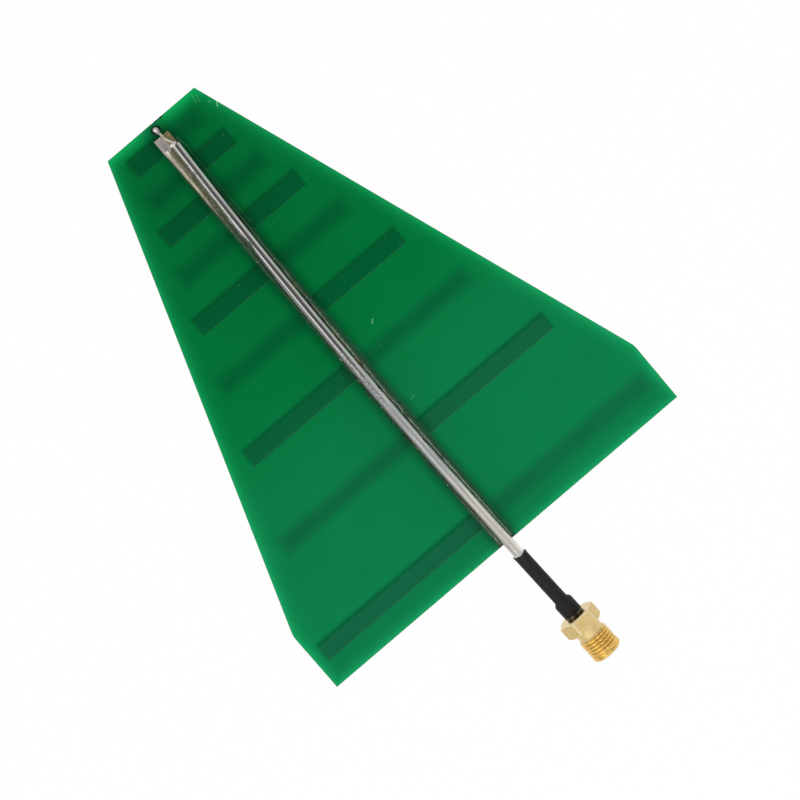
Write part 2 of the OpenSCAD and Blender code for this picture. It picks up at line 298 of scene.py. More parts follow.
class Finish(Net):
    """A material of one principled shader; place, flat, x, y and z are in millimetres."""

    def __init__(self, name):
        self.material = bpy.data.materials.new(name)
        self.material.use_nodes = True
        super().__init__(self.material.node_tree)
        self.shader = self.tree.nodes["Principled BSDF"]
        self.place = self.vector("MULTIPLY", self.node("TexCoord").outputs["Object"], (1 / MM,) * 3)
        self.flat = self.vector("MULTIPLY", self.place, (1, 1, 0))
        self.x, self.y, self.z = self.split(self.place)

    def run(self, start, end):
        """Rises smoothly from 0 to 1 along the board, between two y."""
        return self.smooth(self.y, start, end)

    def noise(self, scale, detail=2, stretch=(1, 1, 1)):
        """Noise round 0.5 with about scale features to the millimetre, lengthened by stretch."""
        place = self.vector("DIVIDE", self.place, stretch)
        return self.fill(self.node("TexNoise"), place, Scale=scale, Detail=detail).outputs["Fac"]

    def bump(self, height, depth):
        node = self.fill(self.node("Bump"), Height=height, Distance=depth, Strength=1)
        self.fill(self.shader, Normal=node.outputs["Normal"])

    def box_distance(self, low, high):
        """Distance in plan from a box, negative inside it."""
        low, high = Vector((*low, 0)), Vector((*high, 0))
        away = self.vector("ABSOLUTE", self.vector("SUBTRACT", self.flat, (low + high) / 2))
        away = self.vector("SUBTRACT", away, (high - low) / 2)
        x, y, _ = self.split(away)
        outside = self.vector("LENGTH", self.vector("MAXIMUM", away, (0, 0, 0)))
        return self.plus(outside, self.least(self.most(x, y), 0))

    def stroke_distance(self, start, end):
        """Distance in plan from a straight stroke."""
        along = Vector((*end, 0)) - Vector((*start, 0))
        offset = self.vector("SUBTRACT", self.flat, (*start, 0))
        share = self.vector("DOT_PRODUCT", offset, along / along.length_squared)
        nearest = self.vector("MULTIPLY", self.most(0, self.least(share, 1)), along)
        return self.vector("LENGTH", self.vector("SUBTRACT", offset, nearest))

    def finish(self, **inputs):
        self.fill(self.shader, **inputs)
        return self.material


# Board

# Lacquer green along the board, made lighter towards the wide end as painted light
LACQUER_TONES_WITH_PAINTED_LIGHT = ((-45, 9, 122, 70), (-16, 8, 118, 66), (-1, 0, 112, 54), (22, 0, 106, 50),
                 (46, 0, 102, 48))  # y in mm and sRGB colour
# Painted glow: light that the translucent board lets through near its outline and at its tip, added to
# the lacquer's colour
PAINTED_EDGE_GLOW = (0.006, 0.185, 0.063, 1)
EDGE_GLOW_REACH = 0.95  # mm
PAINTED_TIP_GLOW = (0, 0.112, 0.025, 1)
FLUX_FILM = srgb(38, 88, 61)
FILM_RIM_TONE = srgb(120, 160, 132)
BURNT = srgb(10, 18, 10)
SCRATCHED = srgb(120, 205, 156)
DUST = srgb(70, 160, 110)
DUST_SPACING = 10.0  # mm
SCRATCHES = [  # start and end in mm, and strength
    ((9.45, 51.26), (9.11, 49.71), 0.2), ((10.03, 50.77), (9.75, 49.31), 0.2),
    ((12.2, 47.4), (11.7, 46.6), 0.9), ((11, 48.3), (11.3, 48.2), 0.5), ((8.05, -2.6), (7.4, -3.2), 0.6),
    ((4.8, -18.7), (3.7, -19), 0.2), ((2.1, 47.2), (2.57, 44.9), 0.2)]
FILM_RIM = [(2.57, 44.9), (2.42, 43.1), (2.4, 26)]


def along_board(y):
    """Share of the board's length at a y in mm, from the wide edge."""
    return (y * MM - WIDE_Y) / (TIP_Y - WIDE_Y)


def strip_ends(name):
    """Outer end, lowest and highest y in mm of each strip of a copper node, from its corners."""
    ends = {}
    for vertex in nodes[name].data.vertices:
        if abs(vertex.co.x) > 2 * BOOM_HALF:
            ends.setdefault(round(vertex.co.x / MM, 3), []).append(vertex.co.y / MM)
    return [(x, min(ys), max(ys)) for x, ys in sorted(ends.items())]


def strips_distance(net, name, shift=0):
    """Distance in plan from the nearest strip of a copper node, shifted along the board by some mm."""
    return net.least(*[net.box_distance((min(x, 0), low + shift), (max(x, 0), high + shift))
                       for x, low, high in strip_ends(name)])


def outline_distance(net):
    """Distance inwards from the board's outline, read from the laminate's corners."""
    corners = {(round(v.co.x / MM, 3), round(v.co.y / MM, 3)) for v in nodes["laminate"].data.vertices}
    tip, shoulder = [Vector(c) for c in sorted(corners, key=lambda c: (-c[1], -c[0])) if c[0] > 2][:2]
    along = (shoulder - tip).normalized()
    normal = Vector((-along.y, along.x))
    across = net.number("ABSOLUTE", net.x)
    outwards = net.plus(net.times(across, normal.x), net.times(net.y, normal.y))
    slant = net.minus(normal.dot(tip), outwards)
    side = net.minus(WIDE_HALF / MM, across)
    tip_end = net.minus(TIP_Y / MM, net.y)
    wide_end = net.minus(net.y, WIDE_Y / MM)
    return net.least(slant, side, tip_end, wide_end)


def boom_distance(net):
    """Sideways distance from the boom's edge, negative on the boom."""
    return net.minus(net.number("ABSOLUTE", net.x), BOOM_HALF / MM)


def feed_distance(net, shift=0):
    """Distance in plan from the feed hole, or from a place some mm nearer to the tip."""
    return net.vector("LENGTH", net.vector("SUBTRACT", net.flat, (0, FEED_Y / MM + shift, 0)))


def lacquer_color(net):
    """Green of the lacquer over the board, with painted light towards the wide end and a painted glow
    along the edges.
    """
    share = net.number("DIVIDE", net.minus(net.y, WIDE_Y / MM), (TIP_Y - WIDE_Y) / MM)
    color = net.tones(share, *[(along_board(y), *tone) for y, *tone in LACQUER_TONES_WITH_PAINTED_LIGHT])
    cloud = net.ramp(net.noise(0.12, 3), (0.3, grey(0.97)), (0.7, grey(1.03)))
    color = net.mix(1, color, cloud, "MULTIPLY")
    color = net.tint(color, net.run(-45, -48), 0.95, 0.9, 0.92)
    edge = outline_distance(net)
    # painted glow inside the outline, and at the tip below
    glow = net.number("EXPONENT", net.number("DIVIDE", edge, -EDGE_GLOW_REACH))
    color = net.mix(glow, color, PAINTED_EDGE_GLOW, "ADD")
    color = net.mix(net.run(TIP_Y / MM - 3, TIP_Y / MM), color, PAINTED_TIP_GLOW, "ADD")
    return net.tint(color, net.smooth(edge, 0.3, 0.05), 1, 0.8, 0.8)


def shade_strips(net, color, own_edge, far_edge):
    """Darkens the lacquer over copper: far strips as painted shade blurred by the board, own strips
    crisp.
    """
    # painted shade of the far side's copper and boom, seen blurred through the board
    color = net.tint(color, net.smooth(far_edge, 1.7, -1.5), 1.3, 0.68, 0.80)
    return net.tint(color, net.smooth(own_edge, 0.06, -0.06), 2, 0.62, 0.84)


def paint_strip_edge_shade(net, color, own_edge):
    """Darker lacquer along the strips' edges towards the tip, as painted shade of the edges that face
    away from the key lamp.
    """
    beside = net.smooth(strips_distance(net, "top_copper", 0.4), 0.8, -0.1)
    strip_edge_shade = net.times(beside, net.smooth(own_edge, -0.04, 0.08))
    # painted shade beside the strips' edges on the tip side
    return net.tint(color, strip_edge_shade, 0.4, 0.6, 0.66)


def add_painted_shade_and_flux(net, color):
    """Painted shade beside the boom, a dark film of flux, and burnt lacquer at the feed and on the tip
    edge.
    """
    away = boom_distance(net)
    # broad painted shade of the cable over the board
    color = net.tint(color, net.smooth(away, 14, 1), 1, 0.93, 0.92)
    # painted shade close beside the boom, from the lower boom and the cable
    color = net.tint(color, net.smooth(away, 2.6, 0), 1, 0.74, 0.76)
    patches = net.noise(0.7, 4, (1, 2.5, 1))
    right = net.times(net.smooth(net.x, -0.1, 0.1), net.run(22, -4))
    reach = net.plus(net.between(patches, -0.3, 0.6), net.between(right, 0, 0.45))
    film = net.smooth(net.minus(away, reach), 0.35, -0.3)
    color = net.cover(color, FLUX_FILM, film, net.run(49, 46), 0.75)
    ragged = net.times(net.noise(1.8, 3), 0.9)
    feed_mark = net.plus(feed_distance(net, 0.1), ragged)
    color = net.cover(color, BURNT, net.smooth(feed_mark, 1.5, 1.2))
    tip_mark = net.plus(net.box_distance((0.7, TIP_Y / MM - 0.1), (2.6, TIP_Y / MM)), ragged)
    return net.cover(color, BURNT, net.smooth(tip_mark, 0.66, 0.46))


def add_scratches(net, color):
    """A few pale scratches, the rim of the flux film and specks of dust."""
    for start, end, strength in SCRATCHES:
        mark = net.smooth(net.stroke_distance(start, end), 0.15, 0.02)
        color = net.cover(color, SCRATCHED, mark, strength)
    for start, end in zip(FILM_RIM, FILM_RIM[1:]):
        mark = net.smooth(net.stroke_distance(start, end), 0.12, 0.02)
        color = net.cover(color, FILM_RIM_TONE, mark, 0.15)
    dots = net.fill(net.node("TexVoronoi", voronoi_dimensions="2D"), net.flat, Scale=1 / DUST_SPACING)
    return net.cover(color, DUST, net.smooth(dots.outputs["Distance"], 0.016, 0.006), 0.4)


def lacquer(net, color, own_edge):
    """Satin lacquer, raised over the strips of its own side."""
    waves = net.times(net.noise(0.8, 3), 0.05)
    net.bump(net.plus(net.smooth(own_edge, 0.16, -0.16), waves), 0.1 * MM)
    roughness = net.between(net.noise(0.35, 4), 0.3, 0.44)
    return net.finish(Base_Color=color, Roughness=roughness, Specular_IOR_Level=0.04)


def top_mask_material():
    """Lacquer of the upper side; the lower copper shows through the board as painted shade."""
    net = Finish("top_mask")
    own_edge = strips_distance(net, "top_copper")
    far_edge = net.least(strips_distance(net, "bottom_copper"), boom_distance(net))
    color = shade_strips(net, lacquer_color(net), own_edge, far_edge)
    color = paint_strip_edge_shade(net, color, own_edge)
    return lacquer(net, add_scratches(net, add_painted_shade_and_flux(net, color)), own_edge)


def bottom_mask_material():
    """Lacquer of the lower side, which covers the boom too."""
    net = Finish("bottom_mask")
    own_edge = net.least(strips_distance(net, "bottom_copper"), boom_distance(net))
    color = shade_strips(net, lacquer_color(net), own_edge, strips_distance(net, "top_copper"))
    return lacquer(net, color, own_edge)


def laminate_material():
    """Sawn glass-epoxy: pale green with fine layers of cloth, dark with flux in the mask's openings."""
    net = Finish("laminate")
    layers = net.noise(9, 3, (8, 8, 1))
    color = net.tones(layers, (0.3, 96, 138, 84), (0.55, 150, 176, 118), (0.75, 180, 196, 146))
    color = net.cover(color, srgb(206, 214, 176), net.smooth(net.noise(6), 0.55, 0.75))
    beside_boom = net.smooth(boom_distance(net), 1, 0.8)
    color = net.cover(color, srgb(18, 46, 28), beside_boom, net.smooth(net.z, 1.6, 1.65))
    net.bump(layers, 0.03 * MM)
    return net.finish(Base_Color=color, Roughness=0.6, Specular_IOR_Level=0.3)


def tinned_copper_material():
    """Tinned foil: grey on the left, tan with flux on the right, black at the feed."""
    net = Finish("tinned_copper")
    streaks = net.noise(1.4, 4, (1, 6, 1))
    left = net.tones(streaks, (0.3, 186, 175, 170), (0.7, 236, 226, 220))
    right = net.tones(streaks, (0.3, 168, 152, 108), (0.7, 206, 194, 150))
    color = net.mix(net.smooth(net.x, 0, 0.4), left, right)
    stained = net.run(CABLE_TIP_Y / MM - 1, CABLE_TIP_Y / MM - 9)
    color = net.cover(color, srgb(52, 64, 46), stained, 0.85)
    burnt = net.smooth(feed_distance(net), 1.15, 1)
    color = net.cover(color, BURNT, burnt)
    net.bump(streaks, 0.02 * MM)
    return net.finish(Base_Color=color, Metallic=net.between(burnt, 0.85, 0), Roughness=0.4)


# Cable, wire and solder

def cable_offset(net):
    """Sideways distance from the cable's axis, in mm."""
    away = net.minus(net.y, BOW_Y / MM)
    rise = net.number("DIVIDE", net.times(away, away), 2 * BOW_R / MM)
    return net.minus(net.x, net.minus(rise, BOW_SHIFT / MM))


def cable_tone(net, along, frosted, offset):
    """Tin of the cable: bright at the tip, then duller with painted shade on its left and painted light
    on its right, pale at the end.
    """
    streaks = net.noise(1.6, 4, (1, 14, 1))
    bright = net.tones(streaks, (0.25, 168, 168, 166), (0.6, 194, 195, 193))
    dull = net.tones(streaks, (0.3, 176, 176, 175), (0.65, 206, 208, 207))
    pale = net.tones(streaks, (0.3, 210, 205, 199), (0.65, 232, 228, 221))
    color = net.mix(frosted, bright, net.mix(net.smooth(along, -27, -38), dull, pale))
    # painted shade on the frosted cable's left and painted light on its right
    painted_side_light = net.ramp(net.smooth(offset, -0.7, 0.7), (0, grey(0.76)), (1, grey(1.14)))
    return net.mix(frosted, color, net.mix(1, color, painted_side_light, "MULTIPLY"))


def cable_stain(net, on_right):
    """Share of flux on the cable's sides, up to a ragged line that has bites on the right."""
    tip_rise = net.times(net.run(8, 24), 0.36)
    left_line = net.plus(net.noise(0.8, 4, (1, 4, 1)), tip_rise, 0.23)
    fall = net.between(net.run(-36, -42), 0.05, 0.3)
    right_line = net.minus(net.noise(0.7, 5, (1, 3, 1)), fall)
    middle = net.times(net.run(18, 12), net.run(-34, -28))
    bites = net.times(middle, net.smooth(net.noise(0.4, 1, (40, 1.6, 40)), 0.46, 0.6))
    right_line = net.plus(right_line, net.between(bites, -0.1, 0.24))
    ragged = net.times(net.noise(3, 3, (1, 2, 1)), 0.5)
    line = net.between(on_right, left_line, right_line)
    line = net.plus(line, net.plus(ragged, CABLE_Z / MM - 0.25))
    stain = net.smooth(net.z, line, net.minus(line, net.between(on_right, 0.3, 0.12)))
    return net.times(stain, net.run(WIDE_Y / MM - 0.3, WIDE_Y / MM + 1.5))


def stain_color(net, on_right):
    """Flux on the cable: green-grey on the left, nearly black on the right and paler below its middle."""
    left = net.mix(net.run(20, 34), srgb(58, 72, 58), srgb(96, 98, 78))
    low = net.smooth(net.z, CABLE_Z / MM + 0.12, CABLE_Z / MM - 0.15)
    right = net.mix(low, srgb(32, 30, 22), srgb(124, 118, 102))
    return net.mix(on_right, left, right)


def white_rim_share(net, offset):
    """White rim on the cable, along the slanted mouth of the sleeve."""
    side = net.number("DIVIDE", offset, CABLE_R / MM)
    side = net.times(side, side, net.between(net.smooth(offset, 0.1, -0.1), 1, 2))
    mouth = net.between(side, (SLEEVE_START + MOUTH_CUT) / MM, SLEEVE_START / MM)
    return net.smooth(net.minus(station(net), mouth), -0.32, -0.24)


def cable_material():
    """Tinned cable: bright and smooth at the tip, frosted towards the jack, stained beside the solder."""
    net = Finish("tinned_cable")
    offset = cable_offset(net)
    on_right = net.smooth(offset, -0.3, 0.3)
    along = net.plus(net.y, net.times(net.noise(0.5, 3), 8))
    frosted = net.smooth(along, 8, -9)
    grainy = net.times(net.smooth(along, 8, -4), net.smooth(along, -18, -8))
    grain = net.noise(6, 4, (1, 2.5, 1))
    color = cable_tone(net, along, frosted, offset)
    # grain spots darkened only inside a painted dark reflection along the cable's middle-left
    spots = net.times(grainy, net.smooth(grain, 0.56, 0.38))
    painted_reflection_band = net.times(net.smooth(offset, 0.45, 0), net.smooth(offset, -0.95, -0.5))
    color = net.cover(color, srgb(82, 73, 69), spots, painted_reflection_band, 0.85)
    warm = net.smooth(net.noise(0.6, 3, (1, 2, 1)), 0.55, 0.75)
    color = net.cover(color, srgb(190, 176, 164), warm, 0.25)
    stain, white_rim = cable_stain(net, on_right), white_rim_share(net, offset)
    color = net.cover(color, stain_color(net, on_right), stain)
    color = net.cover(color, srgb(250, 249, 246), white_rim)
    metallic = net.between(net.most(stain, white_rim), 1, 0.3)
    net.bump(net.times(grain, grainy), 0.02 * MM)
    return net.finish(Base_Color=color, Metallic=metallic, Roughness=net.between(frosted, 0.13, 0.46))


class SeamFinish(Finish):
    """Finish of the solder seam, with the noises and shares that its colours use."""

    def __init__(self, name):
        super().__init__(name)
        self.streaks = self.noise(1.1, 5, (1, 5, 1))
        self.patches = self.noise(0.9, 4, (1, 2.5, 1))
        self.grit = self.noise(4, 2, (1, 2, 1))
        self.dark_grit = self.smooth(self.grit, 0.42, 0.35)
        self.offset = cable_offset(self)
        self.right = self.smooth(self.offset, -0.3, 0.3)
        self.near_jack = self.run(12, 2)
        self.beyond_boom = boom_distance(self)


def fluxed_seam(net):
    """Green-grey solder under flux, paler towards the wide end, with pale and dark grit."""
    left = net.tones(net.streaks, (0.3, 26, 58, 40), (0.52, 46, 78, 58), (0.72, 112, 124, 104))
    right = net.tones(net.streaks, (0.3, 46, 74, 57), (0.55, 76, 102, 85), (0.8, 150, 164, 147))
    tone = net.mix(net.right, left, right)
    towards_tip = net.run(14, 28)
    tone = net.cover(tone, srgb(84, 92, 72), towards_tip, net.between(net.right, 0.6, 0))
    wide_tone = net.mix(net.right, srgb(118, 120, 106), srgb(84, 122, 102))
    tone = net.cover(tone, wide_tone, net.run(-28, -42), 0.8)
    outer = net.smooth(net.plus(net.beyond_boom, net.patches), 0, 0.5)
    tone = net.cover(tone, srgb(40, 90, 64), outer, 0.75)
    specks = net.smooth(net.grit, 0.56, 0.64)
    tone = net.cover(tone, srgb(172, 168, 154), specks, net.near_jack, 0.85)
    return net.cover(tone, srgb(22, 36, 26), net.dark_grit, 0.7)


def clean_seam(net):
    """Tan solder on the left of the tip, paler near the cable's end."""
    tone = net.tones(net.streaks, (0.3, 118, 114, 92), (0.55, 160, 155, 132), (0.75, 196, 190, 170))
    pale = net.times(net.run(37, 43), net.smooth(net.beyond_boom, -1.2, -0.7))
    return net.cover(tone, srgb(206, 194, 176), pale, 0.35)


def seam_ends(net, color):
    """Bright solder at the cable's end, and green flux along the foot of the seam."""
    start = net.plus(net.y, net.between(net.patches, -1.6, 1.6))
    start = net.smooth(start, CABLE_TIP_Y / MM - 0.9, CABLE_TIP_Y / MM - 0.1)
    color = net.cover(color, srgb(214, 204, 196), start, 0.8)
    foot = net.smooth(net.beyond_boom, -0.35, 0)
    color = net.cover(color, srgb(36, 78, 50), net.run(42, 36), foot, 0.8)
    return net.cover(color, srgb(70, 78, 60), net.dark_grit, 0.5)


def seam_lines(net, color):
    """Lines along the cable: painted shade in the crevice beside it, then brown flux, a pale ridge and a
    green foot.
    """
    place = net.plus(net.number("ABSOLUTE", net.offset), net.times(net.patches, 0.4))
    right = net.times(net.right, net.near_jack)
    color = net.cover(color, srgb(32, 80, 55), net.smooth(place, 1.72, 1.9), right, 0.75)
    ridge = net.smooth(net.number("ABSOLUTE", net.minus(place, 1.62)), 0.15, 0.05)
    color = net.cover(color, srgb(150, 162, 148), ridge, right, 0.6)
    left_share = net.between(net.run(-24, -36), 0.25, 0.8)
    # painted shade in the crevice between the cable and the seam
    crevice = net.smooth(place, 1.5, 1.34)
    color = net.cover(color, srgb(26, 27, 20), crevice, net.between(net.right, left_share, 0.95))
    middle = net.times(net.run(18, 12), net.run(-24, -12))
    brown = net.times(net.smooth(net.patches, 0.5, 0.58), net.times(middle, net.right))
    return net.cover(color, srgb(116, 86, 44), brown, net.smooth(place, 1.8, 1.6), 0.8)


def boom_solder_material():
    """Seam of solder: tan at the tip's left, green-grey further along, with lines beside the cable."""
    net = SeamFinish("boom_solder")
    tip = net.times(net.run(26, 36), net.smooth(net.offset, 0.2, -0.4))
    color = net.mix(tip, fluxed_seam(net), clean_seam(net))
    color = seam_lines(net, seam_ends(net, color))
    net.bump(net.plus(net.streaks, net.times(net.noise(5, 3), 0.4)), 0.08 * MM)
    return net.finish(Base_Color=color, Metallic=net.between(tip, 0.25, 0.7),
                      Roughness=net.between(net.streaks, 0.3, 0.5), Specular_IOR_Level=0.3)


def solder_material():
    """Bright solder of a joint, slightly clouded."""
    net = Finish("solder")
    cloud = net.noise(2.5, 4)
    color = net.tones(cloud, (0.3, 164, 150, 152), (0.7, 206, 199, 200))
    net.bump(cloud, 0.03 * MM)
    return net.finish(Base_Color=color, Metallic=1, Roughness=net.between(cloud, 0.18, 0.34))


def wire_material():
    """Silver-plated wire, tarnished a little."""
    net = Finish("plated_wire")
    tarnish = net.noise(2, 3)
    color = net.tones(tarnish, (0.35, 168, 160, 138), (0.7, 204, 200, 192))
    return net.finish(Base_Color=color, Metallic=1, Roughness=net.between(tarnish, 0.3, 0.45))


def insulation_material():
    """Waxy white insulation."""
    net = Finish("white_insulation")
    color = net.tones(net.noise(1.5, 3), (0.3, 226, 222, 208), (0.7, 242, 240, 232))
    return net.finish(Base_Color=color, Roughness=0.45, Subsurface_Weight=0.15, Subsurface_Scale=0.3 * MM)


# Sleeve and jack

def station(net):
    """Distance along the stub from the wide edge, in mm."""
    offset = net.vector("SUBTRACT", net.place, EDGE_POINT / MM)
    return net.vector("DOT_PRODUCT", offset, STUB_DIR)


def stub_radius(net):
    """Distance from the stub's axis, in mm."""
    offset = net.vector("SUBTRACT", net.place, EDGE_POINT / MM)
    return net.vector("LENGTH", net.vector("CROSS_PRODUCT", offset, STUB_DIR))


def heat_shrink_material():
    """Matte black tube with a faint grain, a pale cut at its mouth and a glossy lip."""
    net = Finish("heat_shrink")
    along = station(net)
    grain = net.noise(3, 5, (1, 3, 1))
    color = net.tones(grain, (0.3, 13, 10, 8), (0.7, 21, 18, 15))
    lip_s = (SLEEVE_END - LIP_LEN) / MM
    lip = net.smooth(along, lip_s, lip_s + 0.08)
    color = net.cover(color, srgb(26, 14, 5), lip)
    cut = net.smooth(along, SLEEVE_START / MM + 0.03, SLEEVE_START / MM)
    inner = net.smooth(stub_radius(net), (CABLE_R + SLEEVE_T) / MM, CABLE_R / MM + 0.2)
    color = net.cover(color, srgb(225, 222, 218), cut, inner)
    net.bump(grain, 0.01 * MM)
    return net.finish(Base_Color=color, Roughness=net.between(lip, 0.6, 0.12),
                      Specular_IOR_Level=net.between(lip, 0.3, 1))


def painted_hex_highlights(net, along, radius):
    """Painted highlights on the jack's hexagon: along its corners and the borders of its chamfers."""
    chamfer = net.times(net.minus(radius, HEX_FACE_R / MM), HEX_SLOPE)
    from_rear = net.minus(net.minus(along, HEX_S / MM), chamfer)
    from_front = net.minus(net.minus(NECK_S / MM, along), chamfer)
    front = net.between(net.smooth(from_front, 0.18, 0.06), 0, 0.35)
    border = net.most(net.smooth(from_rear, 0.18, 0.06), front)
    border = net.times(border, net.smooth(radius, HEX_FACE_R / MM - 0.04, HEX_FACE_R / MM))
    corner_r = HEX_AF / MM / 2 / cos(pi / 6)
    return net.most(border, net.smooth(radius, corner_r - 0.12, corner_r - 0.07))


def gold_material():
    """Gold-plated brass: satin on hexagon and neck, polished behind them, deeper on the thread; painted
    highlights on the hexagon's edges, painted light and shade in the thread's grooves.
    """
    net = Finish("gold_plated_brass")
    along, radius, cloud = station(net), stub_radius(net), net.noise(0.7, 3)
    pale = net.tones(cloud, (0.3, 216, 191, 132), (0.7, 228, 204, 148))
    deep = net.tones(cloud, (0.3, 228, 186, 96), (0.7, 240, 200, 112))
    thread = net.smooth(along, THREAD_S / MM - 0.1, THREAD_S / MM + 0.15)
    color = net.mix(thread, pale, deep)
    depth = net.minus(THREAD_R / MM, radius)
    # painted light: paler gold deeper down the grooves' flanks
    color = net.cover(color, srgb(244, 228, 180), thread, net.smooth(depth, 0.075, 0.275), 0.6)
    # painted shade in the thread's roots
    color = net.cover(color, srgb(130, 92, 28), thread, net.smooth(depth, 0.225, 0.315), 0.6)
    neck = net.smooth(along, NECK_S / MM - 0.02, NECK_S / MM + 0.02)
    color = net.cover(color, srgb(244, 222, 166), neck, net.minus(1, thread), 0.4)
    # painted highlights along the hexagon's corners and chamfers
    color = net.cover(color, srgb(252, 240, 212), painted_hex_highlights(net, along, radius), 0.5)
    rear = net.smooth(along, HEX_S / MM + 0.06, HEX_S / MM + 0.02)
    roughness = net.minus(net.between(thread, 0.55, 0.4), net.times(rear, 0.3))
    net.bump(net.noise(2, 2), 0.003 * MM)
    return net.finish(Base_Color=color, Metallic=1, Roughness=roughness)


# Pieces

def link(item):
    bpy.context.scene.collection.objects.link(item)


def mesh_object(name, points, faces, material, slot, sharp=35):
    """Smooth-shaded mesh on the part's one body; edges over sharp degrees stay crisp."""
    mesh = bpy.data.meshes.new(name)
    mesh.from_pydata(points, [], faces)
    mesh.shade_smooth()
    mesh.set_sharp_from_angle(angle=radians(sharp))
    mesh.materials.append(material)
    piece = bpy.data.objects.new(name, mesh)
    link(piece)
    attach(piece, "root")
    return piece


def loft(rings, closed=False):
    """Points and faces of a skin over rings of equal size; closed joins the last ring to the first."""
    size = len(rings[0])
    points = [p for ring in rings for p in ring]
    faces = []
    for i in range(len(rings) if closed else len(rings) - 1):
        a, b = i * size, (i + 1) % len(rings) * size
        faces += [(a + k, a + (k + 1) % size, b + (k + 1) % size, b + k) for k in range(size)]
    if not closed:
        faces += [tuple(range(size))[::-1], tuple(range(len(points) - size, len(points)))]
    return points, faces


def joined(*shells):
    """One list of points and one of faces from several shells."""
    points, faces = [], []
    for more_points, more_faces in shells:
        start = len(points)
        points += more_points
        faces += [tuple(start + i for i in face) for face in more_faces]
    return points, faces


def ring_at(route, i, radius, sides, wobble=None):
    """Ring of points round a route at one of its points."""
    direction = (route[min(i + 1, len(route) - 1)] - route[max(i - 1, 0)]).normalized()
    side = direction.cross(UP)
    if side.length < 0.2:
        side = Vector((-1, 0, 0))
    side.normalize()
    over = side.cross(direction)
    ring = []
    for angle in turns(sides):
        out = cos(angle) * over + sin(angle) * side
        grow = wobble(route[i], out) if wobble else 0
        ring.append(route[i] + (radius + grow) * out)
    return ring


def tube(route, radii, sides):
    """Closed skin round a route, with a radius for each of its points."""
    return loft([ring_at(route, i, radius, sides) for i, radius in enumerate(radii)])


def curved(points, back, steps=6):
    """Polyline with its inner corners rounded, each from a set-back on."""
    route = [points[0]]
    for a, c, b in zip(points, points[1:], points[2:]):
        p = c + back * (a - c).normalized()
        q = c + back * (b - c).normalized()
        shares = [i / steps for i in range(steps + 1)]
        route += [(1 - t) ** 2 * p + 2 * t * (1 - t) * c + t * t * q for t in shares]
    return route + [points[-1]]


def cable_route(end_s, step):
    """Axis of the cable from its tip to a station of the stub."""
    bow_len = CABLE_TIP_Y - WIDE_Y
    steps, stub_steps = round(bow_len / step), round(end_s / step)
    ys = [CABLE_TIP_Y - bow_len * i / steps for i in range(steps + 1)]
    return ([Vector((bow_x(y), y, CABLE_Z)) for y in ys]
            + [stub_point(end_s * i / stub_steps) for i in range(1, stub_steps + 1)])


def dents(point, out):
    """Slight unevenness of the cable's outside."""
    broad, fine = noise.noise(point * 180 + out * 0.5), noise.noise(point * 700 + out * 1.2)
    return (0.012 * broad + 0.005 * fine) * MM


def make_cable():
    """Tinned tube with slight dents outside and a plain bore."""
    outer_route, inner_route = cable_route(SEAT_S, CABLE_STEP), cable_route(SEAT_S, BORE_STEP)
    outer = [ring_at(outer_route, i, CABLE_R, CABLE_SIDES, dents) for i in range(len(outer_route))]
    inner = [ring_at(inner_route, i, DIELECTRIC_R, CABLE_SIDES) for i in range(len(inner_route))]
    piece = mesh_object("cable_tube", *loft(outer + inner[::-1], True), cable_material(), "tinned_cable")
    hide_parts("cable_outer_conductor")


def feed_points():
    """Corners of the bare wire from under the feed hole to the end of the cable."""
    hole_bottom = Vector((0, FEED_Y, LOWER_COPPER_Z - 0.25 * MM))
    hole_bend = Vector((0, FEED_Y, BOOM_TOP_Z + 0.5 * MM))
    sag = Vector((0.3 * MM, FEED_Y - 2.3 * MM, BOOM_TOP_Z + 0.62 * MM))
    cable_bend = CABLE_END + Vector((-0.03, 0.55, 0)) * MM
    return [hole_bottom, hole_bend, sag, cable_bend, CABLE_END]


def make_wire():
    """Centre wire from the feed hole through the cable into the jack."""
    route = curved(feed_points(), 0.4 * MM)[:-1] + cable_route(WIRE_END_S, WIRE_STEP)
    skin = tube(route, [WIRE_R] * len(route), WIRE_SIDES)
    piece = mesh_object("center_wire", *skin, wire_material(), "plated_wire")
    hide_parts("cable_center_wire")


def make_feed_solder():
    """Solder of the feed: a dome below, the filled hole and a drop drawn out along the wire."""
    upper, lower, head_r, neck_len, least_r = (v * MM for v in (0.85, 0.5, 0.72, 1.35, 0.01))
    arc = [radians(10 * i) for i in range(10)]
    profile = [(max(LAND_R * sin(a), least_r), LOWER_COPPER_Z - lower * cos(a)) for a in arc]
    profile += [(HOLE_R, LOWER_COPPER_Z), (HOLE_R, BOOM_TOP_Z)]
    profile += [(max(head_r * cos(a), least_r), BOOM_TOP_Z + upper * sin(a)) for a in arc]
    centre = Vector((0, FEED_Y, 0))
    rings = [[centre + Vector((r * sin(a), r * cos(a), z)) for a in turns(32)] for r, z in profile]
    bend, sag = feed_points()[1:3]
    along = (sag - bend).normalized()
    shares = [i / 8 for i in range(9)]
    neck = [bend - 0.05 * UP * MM + neck_len * t * along for t in shares]
    radii = [WIRE_R + 0.01 * MM + (0.94 * head_r - WIRE_R) * (1 - t) ** 1.6 for t in shares]
    shells = joined(loft(rings), tube(neck, radii, 20))
    piece = mesh_object("feed_joint", *shells, solder_material(), "solder", 60)
    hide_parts("feed_solder")


SEAM_START = 0.25 * MM  # beyond the cable's end
SEAM_END = 0.6 * MM  # from the wide edge
SEAM_EDGE_T = 0.03 * MM
SEAM_SPREAD = 0.06  # mm beyond the boom's edge, and less on the left of the tip
SEAM_CLIMB = 74  # degrees round the cable from below, and more on the left of the tip
SEAM_HOLLOW = 2.4  # power of the flank's rise


